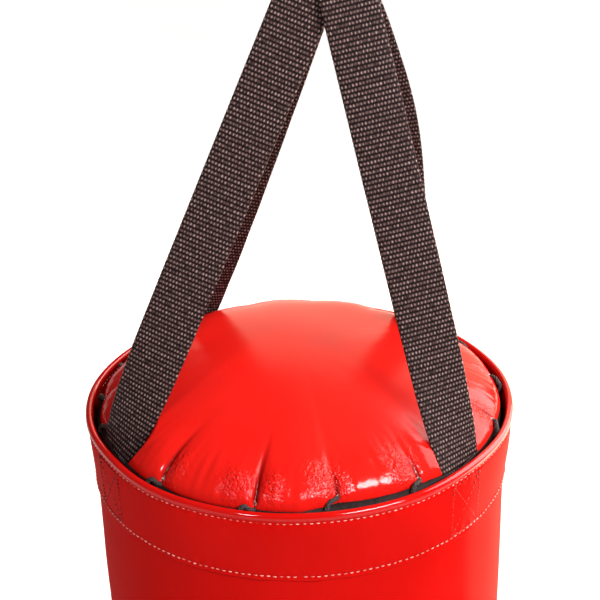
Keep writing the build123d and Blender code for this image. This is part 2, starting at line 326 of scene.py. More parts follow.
def vinyl(name, stops, coat, coat_roughness, laced=False, rim_gloss=0.0):
    """Glossy red vinyl with a faint grain; laced adds the lid's marks, rim_gloss polishes the rim."""
    material, tree, bsdf = new_material(name)
    here = coordinates(tree)
    grain = cells(tree, here, 700.0)
    skin = noise(tree, here, 120.0, 3.0, 0.55)
    broad = noise(tree, here, 9.0, 3.0)
    colour = colours(tree, broad, *stops)
    roughness = spread(tree, calc(tree, "ADD", skin, broad), 0.7, 1.3, 0.20, 0.31)
    layers = [(skin, 0.3, 0.2), (grain, 0.03, 0.2)]
    if laced:
        colour, marks = lacing_marks(tree, bsdf, here, colour, coat_roughness)
        layers += marks
    shade(
        tree, bsdf, colour, roughness, bumps(tree, *layers),
        Specular_IOR_Level=0.0, Coat_Weight=coat, Coat_Roughness=coat_roughness, Coat_IOR=1.5)
    tree.links.new(bsdf.inputs["Normal"].links[0].from_socket, bsdf.inputs["Coat Normal"])
    if rim_gloss:
        height = add(tree, "SeparateXYZ", {"Vector": here}).outputs["Z"]
        weight = spread(tree, height, *RIM_GLOSS_Z, coat, rim_gloss)
        blur = spread(tree, height, *RIM_GLOSS_Z, coat_roughness, 0.09)
        tree.links.new(weight, bsdf.inputs["Coat Weight"])
        tree.links.new(blur, bsdf.inputs["Coat Roughness"])
    return material


def webbing():
    """Black-brown nylon webbing, with painted highlights on the tops of its threads and painted shade in its gaps.
    """
    material, tree, bsdf = new_material("webbing_nylon")
    weave_map = add(tree, "UVMap", uv_map="Weave").outputs["UV"]
    sheet = add(tree, "SeparateXYZ", {"Vector": weave_map})
    across, along = sheet.outputs["X"], sheet.outputs["Y"]
    cell = calc(tree, "ADD", calc(tree, "FLOOR", across), calc(tree, "FLOOR", along))
    parity = calc(tree, "MODULO", cell, 2.0)
    over = calc(tree, "SUBTRACT", 1.0, calc(tree, "ABSOLUTE", parity))
    # Painted highlights on the tops of the threads that lie over, and painted shade between the ends and between
    # the rows
    side = calc(tree, "POWER", half_wave(tree, across), 0.6)
    band = calc(tree, "POWER", half_wave(tree, along), 1.6)
    lift = calc(tree, "MULTIPLY_ADD", calc(tree, "MULTIPLY", side, over), 0.58, 0.42)
    glint_noise = noise(tree, coordinates(tree, (1.0, 0.6, 1.0), "Weave"), 1.1, 2.0)
    uneven = spread(tree, glint_noise, 0.3, 0.7, 0.25, 1.35)
    glint = calc(tree, "MULTIPLY", calc(tree, "MULTIPLY", band, lift), uneven)
    fibre = noise(tree, coordinates(tree, (14.0, 1.2, 1.0), "Weave"), 1.0, 3.0, 0.7)
    # The ramp turns the painted highlight into colour: near black in the painted shade, light brown on the thread
    # tops
    colour = colours(
        tree, glint, (0.0, (0.001, 0.0005, 0.0005)), (0.22, (0.022, 0.011, 0.010)),
        (0.55, (0.078, 0.046, 0.043)), (1.0, (0.26, 0.175, 0.165)))
    roughness = spread(tree, fibre, 0.3, 0.7, 0.45, 0.65)
    shade(tree, bsdf, colour, roughness, bumps(tree, (fibre, 0.12, 0.5)), IOR=1.16)
    return material


def tape_material():
    """Smooth black-brown binding tape with fine ribs across it."""
    material, tree, bsdf = new_material("binding_tape")
    rib_map = coordinates(tree, (1, 1, 1), "Weave")
    ribs = add(tree, "TexWave", {"Vector": rib_map, "Scale": 0.3}).outputs["Fac"]
    dust = noise(tree, coordinates(tree), 500.0, 4.0, 0.7)
    colour = colours(tree, dust, (0.3, (0.007, 0.004, 0.004)), (0.7, (0.020, 0.012, 0.012)))
    roughness = spread(tree, dust, 0.3, 0.7, 0.36, 0.55)
    normal = bumps(tree, (ribs, 0.06, 0.5), (dust, 0.05, 0.4))
    shade(tree, bsdf, colour, roughness, normal, IOR=1.18, Specular_IOR_Level=0.3)
    return material


def cord_material():
    """Dull black braid fibre."""
    material, tree, bsdf = new_material("braided_cord")
    fibre = noise(tree, coordinates(tree), 2400.0, 3.0, 0.7)
    colour = colours(tree, fibre, (0.3, (0.008, 0.005, 0.005)), (0.7, (0.045, 0.030, 0.030)))
    roughness = spread(tree, fibre, 0.3, 0.7, 0.35, 0.6)
    shade(tree, bsdf, colour, roughness, bumps(tree, (fibre, 0.08, 0.5)), IOR=1.3)
    return material


def thread_material(name, dark, light):
    """Twisted sewing thread between two tones."""
    material, tree, bsdf = new_material(name)
    tone = noise(tree, coordinates(tree), 220.0, 2.0)
    twist = noise(tree, coordinates(tree, (1.0, 1.0, 3.0)), 3000.0, 2.0)
    colour = colours(tree, tone, (0.35, dark), (0.65, light))
    roughness = spread(tree, twist, 0.3, 0.7, 0.35, 0.6)
    shade(tree, bsdf, colour, roughness, bumps(tree, (twist, 0.08, 0.6)), IOR=1.3)
    return material


def backing_material():
    """The white knitted backing of the vinyl, where it frays at the lace holes."""
    material, tree, bsdf = new_material("vinyl_backing")
    fibre = noise(tree, coordinates(tree), 2500.0, 4.0, 0.7)
    colour = colours(tree, fibre, (0.3, (0.50, 0.36, 0.30)), (0.7, (0.82, 0.72, 0.64)))
    shade(tree, bsdf, colour, spread(tree, fibre, 0.3, 0.7, 0.7, 0.95), bumps(tree, (fibre, 0.15, 0.7)))
    return material


def metal(name, dark, light, rough_low, rough_high):
    """Plated metal: a fine turned grain, faint stains and small dings."""
    material, tree, bsdf = new_material(name)
    stain = noise(tree, coordinates(tree), 60.0, 4.0, 0.6)
    turned = noise(tree, coordinates(tree, (30.0, 30.0, 900.0)), 1.0, 3.0)
    dings = cells(tree, coordinates(tree), 420.0)
    colour = colours(tree, stain, (0.3, dark), (0.7, light))
    roughness = spread(tree, calc(tree, "ADD", stain, turned), 0.7, 1.3, rough_low, rough_high)
    normal = bumps(tree, (turned, 0.03, 0.35), (dings, 0.05, 0.12))
    shade(tree, bsdf, colour, roughness, normal, Metallic=1.0)
    return material


def floor_material():
    """A plain pale studio floor."""
    material, tree, bsdf = new_material("pale_floor")
    tone = noise(tree, coordinates(tree), 1.5, 3.0)
    colour = colours(tree, tone, (0.3, (0.76, 0.755, 0.755)), (0.7, (0.78, 0.775, 0.775)))
    shade(tree, bsdf, colour, spread(tree, tone, 0.3, 0.7, 0.75, 0.85))
    return material


# The body, collar and lid are one red vinyl; the body's and collar's reds are painted darker than the lid's, as
# painted shade on their upright walls
SHADED_BODY_REDS = [(0.3, (0.36, 0.002, 0.001)), (0.55, (0.40, 0.003, 0.002)), (0.8, (0.43, 0.004, 0.003))]
LID_REDS = [(0.3, (0.47, 0.006, 0.004)), (0.55, (0.51, 0.008, 0.005)), (0.8, (0.54, 0.011, 0.007))]
BODY_VINYL = vinyl("red_vinyl_body", SHADED_BODY_REDS, 0.04, 0.2)
COLLAR_VINYL = vinyl("red_vinyl_collar", SHADED_BODY_REDS, 0.045, 0.18, rim_gloss=0.7)
LID_VINYL = vinyl("red_vinyl_lid", LID_REDS, 0.34, 0.16, laced=True)
WEBBING = webbing()
TAPE = tape_material()
CORD = cord_material()
PALE_THREAD = thread_material("pink_thread", (0.46, 0.08, 0.06), (0.70, 0.32, 0.28))
CROSS_THREAD = thread_material("cross_thread", (0.10, 0.003, 0.002), (0.27, 0.026, 0.02))
# The upright box stitches' thread is dark red, and is painted darker still as painted shade of their needle holes
DARK_THREAD = thread_material("dark_red_thread", (0.09, 0.002, 0.002), (0.20, 0.010, 0.008))
BACKING = backing_material()
ZINC = metal("zinc_steel", (0.50, 0.51, 0.53), (0.68, 0.69, 0.71), 0.24, 0.42)
BRASS = metal("brass_washer", (0.60, 0.42, 0.18), (0.76, 0.58, 0.28), 0.25, 0.42)


# ---- body

WELT_R = 2.45
WELT_OUT = 0.4             # past the shell
WELT_RISE = 2.6            # above the base


def strap_pull(azimuth, width):
    """1 where a strap pulls the rim, falling to 0 between straps."""
    return sum(bell(around(azimuth, a), width) for a in STRAP_AZIMUTHS.values())


def rim_shift(azimuth):
    """How far the rim stands out and up at an azimuth: the straps pull it a little square."""
    behind = smooth(np.abs(around(azimuth, 0)), 95, 150)
    wide = (1.3 + 0.8 * np.sin(np.radians(azimuth)) ** 2) * (1 - behind) - 1.2 * behind
    out = wide + 0.7 - 1.3 * strap_pull(azimuth, 16) + ripple(azimuth, (3, 5, 8, 13), 3, 0.25)
    up = -0.7 + 1.3 * strap_pull(azimuth, 14) + ripple(azimuth, (2, 5, 9), 4, 0.3)
    return out, up


def rim_share(z):
    """How much of the rim's shift reaches a height: 1 at the rim, 0 near the band's lower edge."""
    return smooth(z, -52, -4)


def body_relief(azimuth, z):
    """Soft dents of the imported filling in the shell."""
    u = np.radians(azimuth) * 3
    v = z / 50.0
    rounds = lumps(np.cos(u / 3) * 3, np.sin(u / 3) * 3 + v, 21, 20, 0.5, 1.4)
    fine = lumps(np.cos(u / 3) * 8, np.sin(u / 3) * 8 + v * 2.5, 22, 20, 0.6, 1.6)
    fade = smooth(-z, 60, 160) * smooth(BAG_LENGTH + z, 5, 60)
    return fade * (0.9 * rounds + 0.35 * fine)


def outer_shell():
    """The tube, from just inside the collar down to the welt, with its lapped seam at the back."""
    azimuth = np.linspace(-180, 180, 421)[:-1] + 180.0
    behind_band = np.linspace(-5.5, -60, 24)
    wall = np.linspace(-63, -BAG_LENGTH + 12, 270)
    turned_in = -BAG_LENGTH + np.array([9.0, 7.0, 5.0, 3.6, 2.6, 2.0])
    z = np.concatenate([behind_band, wall, turned_in])
    a, zz = np.meshgrid(azimuth, z)
    lap = smooth(around(a, 180), -4.5, -3.5) * (1 - smooth(around(a, 180), 4.6, 5.4))
    lap = lap * smooth(-zz, -BAND_BOTTOM_Z - 2, -BAND_BOTTOM_Z + 4)
    tuck = 3.0 * (1 - smooth(zz + BAG_LENGTH, 0, 9)) ** 2
    base_dip = 0.35 * bell(zz + BAG_LENGTH - BASE_STITCH_RISE, 1.2)
    r = SHELL_R - 0.1 + body_relief(a, zz) + 0.8 * lap - tuck - base_dip
    near_seam = bell(around(a, 180), 9) * smooth(-zz, 60, 90)
    r = r + 0.5 * near_seam * lumps(a * 0.4, zz / 9.0, 31, 14, 0.5, 1.5)
    faces = grid_faces(len(z), len(azimuth))
    make_piece("bag_shell", polar(r, a, zz), faces, BODY_VINYL, "red_vinyl", "outer_shell")


def band_outline():
    """The collar band's closed outline as (r, z), from its lower edge up, over the rim and back."""
    lower = [(152.65, -55.0), (153.2, -55.25), (153.75, -54.9)]
    z = np.linspace(-54.2, -8.0, 50)
    wall = list(zip(np.full(50, BAND_R), z))
    t = np.radians(np.linspace(-35, 205, 26))
    middle = (ROLL_R + FOLD_R - 0.4) / 2
    half = (ROLL_R - FOLD_R + 0.4) / 2
    roll = list(zip(middle + half * np.cos(t), -2.9 + 2.9 * np.sin(t)))
    inner = [(FOLD_R, z) for z in np.linspace(-6.0, -13.6, 9)]
    back = [(150.5, -14.1), (151.15, -13.6), (151.15, -6.0), (152.55, -6.0), (152.55, -30.0)]
    return np.array(lower + wall + roll + inner + back)


def collar_band():
    """Vinyl band with a rolled rim, pinched in at its rows of stitches."""
    outline = band_outline()
    count = 880
    a = np.arange(count)[None, :] * 360.0 / count
    r, z = outline[:, :1], outline[:, 1:]
    outside = smooth(r, 153.0, 153.5)
    out, up = rim_shift(a)
    near_rim = rim_share(z)
    stitch = np.cos(np.radians(a) * round(2 * math.pi * BAND_R / STITCH_PITCH))
    dent = bell(z - RIM_STITCH_Z, 1.5) * (0.75 + 0.16 * stitch)
    dent = dent + bell(z - BAND_STITCH_Z, 1.4) * (0.5 + 0.14 * stitch)
    swell = 0.9 * bell(z + 30, 18) * (0.6 + 0.5 * ripple(a, (4, 7, 11, 17), 8))
    puckers = 0.16 * (bell(z + 10.5, 3) + bell(z + 48, 3)) * ripple(a, (61, 83, 97, 113), 9)
    lip = 0.5 * bell(z + 54.5, 1.5) * ripple(a, (23, 31, 47), 10)
    right, back = np.sin(np.radians(a)) * 9, np.cos(np.radians(a)) * 9
    sheet = 0.45 * lumps(right, back + z / 17, 13, 22, 0.5, 1.7) * bell(z + 30, 19)
    straps = sum(smooth(-np.abs(around(a, s)), -9.0, -5.5) for s in STRAP_AZIMUTHS.values())
    behind = 0.2 * straps * smooth(z, -53, -50) * (1 - smooth(z, -10, -7))
    rr = r + near_rim * out + outside * (swell + sheet + puckers + lip + behind - dent)
    hang = 0.25 * outside * bell(z + 54.5, 2) * ripple(a, (9, 17, 29), 12)
    zz = z + near_rim * up + hang
    faces = grid_faces(len(outline), count, True, flip=True)
    make_piece("collar_band_vinyl", polar(rr, a, zz), faces, COLLAR_VINYL, "red_vinyl", "collar_band")


def base_panel():
    """Round bottom, drawn into shallow radial puckers at its seam."""
    azimuth = np.arange(360) * 1.0
    r = np.concatenate([[1.0], np.linspace(6, 140, 46), np.linspace(142, 151, 12)])
    a, rr = np.meshgrid(azimuth, r)
    puckers = 0.6 * smooth(rr, 120, 149) * ripple(a, (37, 53, 71), 41)
    x, y = rr * np.cos(np.radians(a)), rr * np.sin(np.radians(a))
    z = -BAG_LENGTH + 0.8 + 0.5 * lumps(x / 25, y / 25, 42) + puckers
    z = z * (1 - smooth(rr, 144, 151)) + (-BAG_LENGTH + 1.8) * smooth(rr, 144, 151)
    faces = grid_faces(len(r), len(azimuth))
    faces.append(list(range(len(azimuth)))[::-1])
    make_piece("base_panel_vinyl", polar(rr, a, z), faces, BODY_VINYL, "red_vinyl", "base_panel")


def base_welt():
    """Piping round the base, gathered a little by its seam."""
    count = 720
    azimuth = np.arange(count) * 0.5
    t = np.radians(np.arange(20) * 18.0)
    a, tt = np.meshgrid(azimuth, t)
    fat = WELT_R + 0.12 * ripple(a, (90, 131, 173), 51)
    r = SHELL_R + WELT_OUT + fat * np.cos(tt)
    z = -BAG_LENGTH + WELT_RISE + fat * np.sin(tt)
    faces = grid_faces(len(t), count, True, flip=True)
    make_piece("base_welt_piping", polar(r, a, z), faces, BODY_VINYL, "red_vinyl", "base_welt")


# ---- lid

LID_HEIGHT = 40.0
LID_EDGE_Z = -3.2
WRINKLE_WAVES = (41, 53, 67, 79, 89, 101, 113, 131)
LID_ROWS = 132
LID_COLUMNS = 752
HOLE_INSET = 1.8
# The hem under the lid's edge, as distances inwards and down from the edge
LID_HEM = ((0.5, 1.6), (1.6, 3.2), (3.2, 4.4), (5.2, 5.0), (7.5, 5.2))
# How far in and how deep the crease of each lace hole runs; the long ones are at the front
CREASES = {-40: (20, 4.3), -12: (25, 5.0), 10: (8, 2.4), 34: (11, 2.8), 72: (12, 1.9)}
CREASE_TURNS = {-40: 3.0, -12: 1.5, 10: -3.0, 34: -5.0, 72: -2.0}
PLAIN_CREASE = (11, 1.7)
# Where the vinyl is finely crinkled: lace hole, distance round the rim from it, and width
CRINKLES = (
    (-40, 9, 7), (-12, -13, 11), (-12, 12, 8), (10, -12, 10), (10, 2, 7), (34, -9, 9), (72, -4, 9))
# The straps' press on the lid's shoulder: how deep, and how far it rises again beside a strap
PRESS_DEPTH = 1.8
PRESS_RISE = 13.0
PRESS_RISE_W = 8.0
# The lid's edge, as azimuth: radius. It is laced in at its holes and bulges over the tape between.
LID_EDGE = {
    -162: 143.8, -151: 144.2, -140: 142.8, -133: 143.4, -126: 143.6, -117: 145.8, -108: 144.2,
    -98: 146.3, -89: 145.2, -80: 146.6, -72: 144.6, -63: 142.8, -54: 146.6, -46: 147.9, -40: 146.6,
    -33: 148.0, -26: 148.2, -12: 147.2, -1: 147.4, 5: 144.6, 10: 141.2, 16: 142.0, 22: 142.8,
    28: 143.2, 34: 143.9, 39: 144.4, 47: 143.4, 59: 147.5, 72: 147.3, 84: 148.2, 97: 147.2,
    109: 147.6, 121: 145.6, 129: 143.6, 136: 142.8, 143: 143.8, 150: 144.0, 162: 146.2, 174: 144.5,
    186: 145.8}


def lid_edge_radius(azimuth):
    """The lid's outermost line at an azimuth."""
    known = np.array(sorted(LID_EDGE))
    radii = np.array([LID_EDGE[k] for k in known])
    known = np.concatenate([known[-3:] - 360, known, known[:3] + 360])
    radii = np.concatenate([radii[-3:], radii, radii[:3]])
    a = (np.asarray(azimuth, float) + 180) % 360 - 180
    k = np.clip(np.searchsorted(known, a, "right") - 1, 0, len(known) - 2)
    t = smooth(a, known[k], known[k + 1])
    return radii[k] * (1 - t) + radii[k + 1] * t


def hole_radius(azimuth):
    """Where a lace hole is in the lid."""
    return float(lid_edge_radius(azimuth)) - HOLE_INSET


def lid_surface(s, azimuth):
    """The stuffed dome without its creases; s is 0 at its middle and 1 at its edge."""
    r = lid_edge_radius(azimuth) * s
    right = np.sin(np.radians(azimuth))
    slack = 0.085 * bell(around(azimuth, 150), 34) * bell(s - 0.62, 0.3)
    lean = 1.0 - s * (0.01 + 0.08 * right + 0.015 * right ** 2) - slack
    z = LID_EDGE_Z + LID_HEIGHT * lean * np.clip(1 - s ** 2.1, 0, 1) ** 0.57
    return r, z


def lid_creases(r, azimuth):
    """Depth of the folds that the lacing draws into the lid, and height of the puffs between."""
    depth = np.zeros_like(r)
    free = np.ones_like(r)
    rng = np.random.default_rng(77)
    for hole in LACE_AZIMUTHS:
        front = float(bell(around(hole, 0), 55))
        reach, deep = CREASES.get(hole, PLAIN_CREASE)
        turn = CREASE_TURNS.get(hole, rng.uniform(-3, 3))
        inward = hole_radius(hole) - r
        drift = turn * smooth(inward, 0, 45)
        side = aside(azimuth, hole, r) - drift
        narrow = 1.05 + 0.03 * np.clip(inward, 0, 60)
        fade = np.where(inward > 0, np.exp(-(np.clip(inward, 0, 200) / reach) ** 1.6), bell(inward, 4.0))
        depth = depth + deep * fade * (0.7 * bell(side, narrow) + 0.3 * bell(side, narrow * 2.6))
        free = free * (1 - 0.85 * bell(side, 8 + 0.2 * np.clip(inward, 0, 60)))
        for offset, strength in ((rng.uniform(4, 7), 0.2), (rng.uniform(-8, -5), 0.16)):
            branch = side - offset * (0.4 + smooth(inward, 0, 30))
            near_hole = smooth(inward, 0, 6) * bell(inward - 9, 8)
            depth = depth + 1.6 * front * strength * bell(branch, 1.6) * near_hole
    puff = free * bell(r - 130, 14) * (0.5 + 1.5 * bell(around(azimuth, 0), 60))
    puff = puff + 0.9 * bell(around(azimuth, 20), 7) * bell(r - 126, 9)
    return depth, puff


def lid_crease_shade(r, azimuth):
    """The lid's painted shade: 1 at the bottom of the long front creases, where the vinyl closes on itself."""
    total = np.zeros_like(r)
    for hole, (reach, _) in CREASES.items():
        inward = hole_radius(hole) - r
        side = aside(azimuth, hole, r) - CREASE_TURNS[hole] * smooth(inward, 0, 45)
        fade = smooth(inward, -1.5, 1.0) * np.exp(-(np.clip(inward, 0, 200) / reach / 1.25) ** 2.4)
        total = np.maximum(total, fade * bell(side, 1.7))
    return total


def lid_crinkle(r, azimuth):
    """1 where the stretched vinyl is finely crinkled: beside the front lace holes."""
    total = np.zeros_like(r)
    for hole, offset, width in CRINKLES:
        side = aside(azimuth, hole, r) - offset
        total = np.maximum(total, bell(side, width) * bell(hole_radius(hole) - 7 - r, 9))
    return total


def pressed_by_strap(points, name):
    """Moves the lid's points to the inner side of a strap that crosses its shoulder."""
    line, across = leg_line(name, 7.0, 0.0)
    low = (line[:, 2] > -14) & (line[:, 2] < 75)
    line, across = line[low][::-1], unit(across[low][::-1])
    out = unit(np.cross(across, unit(np.gradient(line, axis=0))))
    out = out * np.sign(np.sum(out * polar(1.0, LEG_AZIMUTHS[name], 0.0), -1, keepdims=True))
    axis = unit(line[-1] - line[0])
    station = (line - line[0]) @ axis
    flat = points.reshape(-1, 3)
    near = np.nonzero(np.linalg.norm(flat - line[0] * 0.5 - line[-1] * 0.5, axis=1) < 75)[0]
    here = flat[near]
    level = (here - line[0]) @ axis
    centre, side_way, out_way = (
        np.stack([np.interp(level, station, rows[:, k]) for k in range(3)], -1)
        for rows in (line, across, out))
    offset = here - centre
    side = np.abs(np.sum(offset * unit(side_way), -1))
    height = np.sum(offset * unit(out_way), -1)
    beside = np.clip(side - STRAP_W / 2 + 2.2, 0, PRESS_RISE_W) / PRESS_RISE_W
    limit = -PRESS_DEPTH + PRESS_RISE * beside ** 1.1
    excess = np.clip(height - limit, 0, None) * (1 - smooth(side, 24, 31)) * smooth(here[:, 2], -6, -2)
    flat[near] = here - unit(out_way) * excess[:, None]
    return flat.reshape(points.shape)


def lid_points():
    """The lid's grid: rings from the middle out, then a tucked-under hem."""
    azimuth = np.arange(LID_COLUMNS) * 360.0 / LID_COLUMNS
    s = 1 - (1 - np.linspace(0.012, 1, LID_ROWS)) ** 1.75
    a, ss = np.meshgrid(azimuth, s)
    r, z = lid_surface(ss, a)
    depth, puff = lid_creases(r, a)
    slope = np.gradient(z, axis=0) / np.gradient(r, axis=0)
    tilt = np.arctan(np.clip(-slope, 0, 30))
    strength = 0.07 + 0.10 * bell(around(a, 0), 55)
    wrinkle = bell(r - 138, 20) * strength * spokes(a, r, WRINKLE_WAVES, 81)
    right, back = r * np.sin(np.radians(a)), r * np.cos(np.radians(a))
    broad = 0.9 * lumps(right / 48, back / 48, 82, 16, 0.4, 1.3) * (1 - ss ** 3)
    push = puff - depth + wrinkle + broad
    edge = smooth(ss, 0.985, 1.0)
    r = r + push * np.sin(tilt) * (1 - 0.75 * edge)
    z = z + push * np.cos(tilt)
    points = polar(r, a, z)
    for name in STRAP_AZIMUTHS:
        points = pressed_by_strap(points, name)
    last = points[-1]
    inward = -polar(1.0, azimuth, 0.0)
    hem = [last + inward * inset - np.array([0, 0, drop]) for inset, drop in LID_HEM]
    return np.concatenate([points, np.array(hem)])


def set_attribute(mesh, name, values):
    """Stores one number per point, which the lid's material reads."""
    mesh.attributes.new(name, "FLOAT", "POINT").data.foreach_set("value", values.reshape(-1))


def lid_panel():
    """The laced lid in one closed sheet, which also stands for the filling under it."""
    faces = grid_faces(*LID_GRID.shape[:2], flip=True)
    faces.append(list(range(LID_COLUMNS)))
    obj = make_piece("lid_vinyl", LID_GRID, faces, LID_VINYL, "red_vinyl", "lid_panel")
    x, y = LID_GRID[..., 0], LID_GRID[..., 1]
    r, azimuth = np.hypot(x, y), np.degrees(np.arctan2(x, -y))
    set_attribute(obj.data, "crinkle", lid_crinkle(r, azimuth))
    # The painted shade along the lid's long front creases, which its material reads
    set_attribute(obj.data, "crease_shade", lid_crease_shade(r, azimuth))
    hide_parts("fill_core")


def lid_at(r, azimuth):
    """Height of the finished lid at a place, for what sits on it."""
    points = LID_GRID[:LID_ROWS]
    k = int(round((azimuth % 360) / 360 * LID_COLUMNS)) % LID_COLUMNS
    radii = np.hypot(points[:, k, 0], points[:, k, 1])
    order = np.argsort(radii)
    return float(np.interp(r, radii[order], points[order, k, 2]))


# ---- tape and lacing

TAPE_SEWN_R = 149.5
TAPE_SEWN_Z = -9.5
TAPE_T = 0.9
TAPE_BOTTOM_Z = -13.5
TAPE_ARCH = ((0.0, 0), (0.15, 0.25), (0.4, 0.5), (0.7, 0.45), (1.0, 0.0))     # share of width, height
LACE_LEAN = 3.4            # degrees round the rim from a lid hole to where the cord goes down
SUNK_HOLES = (-40, -12)    # where the cord lies deep in a long crease
SUNK_DEPTH = 2.6
CORD_R = 1.7
STRAND_R = 0.62
BRAID_PITCH = 13.0


def tape_inner(azimuth):
    """Radius and height of the tape's free edge, tucked just under the lid's edge."""
    edge = lid_edge_radius(azimuth)
    flat = np.clip(strap_pull(azimuth, 8.5), 0, 1)
    return (edge - 1.2) * (1 - flat) + 148.3 * flat, -2.6 * (1 - flat) - 3.0 * flat


def rim_tape():
    """Black tape, sewn inside the rim and leaning in to the lid; behind a strap it lies flat."""
    count = 720
    azimuth = np.arange(count) * 0.5
    inner_r, inner_z = tape_inner(azimuth)
    wave = ripple(azimuth, (17, 23, 41), 61, 0.35)
    top, under = [], []
    for t, arch in TAPE_ARCH:
        r = TAPE_SEWN_R * (1 - t) + inner_r * t
        z = TAPE_SEWN_Z * (1 - t) + (inner_z + wave) * t + arch
        top.append(polar(r, azimuth, z))
        under.append(polar(r - 0.2, azimuth, z - TAPE_T))
    sewn = [polar(r, azimuth, TAPE_BOTTOM_Z) for r in (149.2, 149.75)]
    rows = np.array(top + under[::-1] + sewn)
    faces = grid_faces(len(rows), count, True)
    obj = make_piece("rim_tape_binding", rows, faces, TAPE, "black_tape", "rim_tape")
    face_uvs(obj, len(rows), count, True, np.arange(count + 1) * 1.3, np.arange(len(rows) + 1))


def lace_route():
    """The cord's line: up through each lid hole, over the tape, down behind it, on to the next."""
    points = [polar(133.0, LACE_AZIMUTHS[0] + 12, -11.0)]
    for azimuth in LACE_AZIMUTHS:
        r = hole_radius(azimuth)
        z = lid_at(r, azimuth) - (SUNK_DEPTH if azimuth in SUNK_HOLES else 0.0)
        down = azimuth - LACE_LEAN
        points += [
            polar(r - 4.5, azimuth + 1.6, -10.5),
            polar(r - 2.2, azimuth + 0.5, z - 3.2),
            polar(r + 0.2, azimuth, z + 0.5),
            polar(r + 2.4, azimuth - 0.9, z + 0.9),
            polar(max(r + 3.8, 144.5), down + 0.8, -0.6),
            polar(max(r + 5.5, 147.2), down - 0.2, -4.2),
            polar(147.2, down - 0.9, -9.8),
            polar(142.0, down - 4.0, -12.2),
            polar(136.0, down - 9.0, -11.5)]
    return np.array(points)


def curve_points(points, step):
    """Even points on a smooth curve through the given ones (Catmull-Rom)."""
    p = np.concatenate([[2 * points[0] - points[1]], points, [2 * points[-1] - points[-2]]])
    t = np.linspace(0, 1, 12, endpoint=False)[:, None]
    line = []
    for k in range(1, len(p) - 2):
        a, b, c, d = p[k - 1], p[k], p[k + 1], p[k + 2]
        square = (2 * a - 5 * b + 4 * c - d) * t ** 2
        cube = (3 * b - a - 3 * c + d) * t ** 3
        line.append(0.5 * (2 * b + (c - a) * t + square + cube))
    line = np.concatenate(line + [points[-1:]])
    return resample(line, step)


def moving_frame(line):
    """Tangent, and two directions across it that don't spin, along a curve."""
    tangent = unit(np.gradient(line, axis=0))
    side = np.zeros_like(tangent)
    guess = np.cross(tangent[0], (0, 0, 1.0))
    side[0] = guess / np.linalg.norm(guess)
    for k in range(1, len(line)):
        v = side[k - 1] - tangent[k] * np.dot(side[k - 1], tangent[k])
        side[k] = v / np.linalg.norm(v)
    return tangent, side, np.cross(tangent, side)


def tubes(lines, radii, sides):
    """Joined round tubes: one per line of points, each with closed ends."""
    points, faces, start = [], [], 0
    t = np.arange(sides) * 2 * np.pi / sides
    for line, radius in zip(lines, radii):
        _, x, y = moving_frame(line)
        ring = np.cos(t)[None, :, None] * x[:, None] + np.sin(t)[None, :, None] * y[:, None]
        points.append((line[:, None] + ring * np.reshape(radius, (-1, 1, 1))).reshape(-1, 3))
        faces += grid_faces(len(line), sides, start=start)
        faces.append([start + k for k in range(sides)][::-1])
        faces.append([start + (len(line) - 1) * sides + k for k in range(sides)])
        start += len(line) * sides
    return np.concatenate(points), faces


def braid(line, along):
    """Lines of eight strands that wind both ways round a cord, each over and under the others."""
    _, x, y = moving_frame(line)
    lines = []
    for way in (-1, 1):
        for k in range(4):
            turn = way * 2 * np.pi * along / BRAID_PITCH + k * np.pi / 2
            weave = 0.22 * way * np.cos(8 * np.pi * along / BRAID_PITCH + k * np.pi)
            r = CORD_R - STRAND_R + weave
            lines.append(line + r[:, None] * (np.cos(turn)[:, None] * x + np.sin(turn)[:, None] * y))
    return lines


def lace_cord():
    """Braided lacing cord, with a round stopper knot where its ends meet."""
    line, along = curve_points(lace_route(), 0.9)
    strands = braid(line, along)
    points, faces = tubes(strands + [line], [STRAND_R] * 8 + [1.05], 6)
    knot_azimuth = LACE_AZIMUTHS[0] + 14
    loops = np.array([
        polar(133.5 + 2.6 * math.cos(t), knot_azimuth + 1.1 * math.sin(t), -10.5 + 2.6 * math.sin(2 * t))
        for t in np.linspace(0, 4 * math.pi, 15)])
    knot_points, knot_faces = tubes([curve_points(loops, 0.9)[0]], [1.6], 10)
    faces += [[k + len(points) for k in face] for face in knot_faces]
    make_piece("lace_braid", np.concatenate([points, knot_points]), faces, CORD, "black_cord", "lace_cord")


def lace_frays():
    """Torn tufts of white backing at the inner side of each lace hole."""
    rng = np.random.default_rng(91)
    lines, radii = [], []
    for azimuth in LACE_AZIMUTHS:
        r = hole_radius(azimuth) - 1.6
        z = lid_at(r, azimuth)
        for _ in range(20):
            lean = rng.uniform(-1, 1)
            start = polar(r + rng.uniform(-1.0, 1.0), azimuth + 0.4 + lean * 0.7, z - 0.9)
            out = polar(1.0, azimuth + lean * 60, 0.0)
            tip = start + out * rng.uniform(-1.2, 1.6) + np.array([0, 0, rng.uniform(1.0, 2.4)])
            middle = (start + tip) / 2 + rng.uniform(-0.5, 0.5, 3)
            lines.append(curve_points(np.array([start, middle, tip]), 0.5)[0])
            radii.append(np.linspace(rng.uniform(0.28, 0.5), 0.12, len(lines[-1])))
    make_piece("lid_hole_frays", *tubes(lines, radii, 5), BACKING, "red_vinyl")


# ---- straps

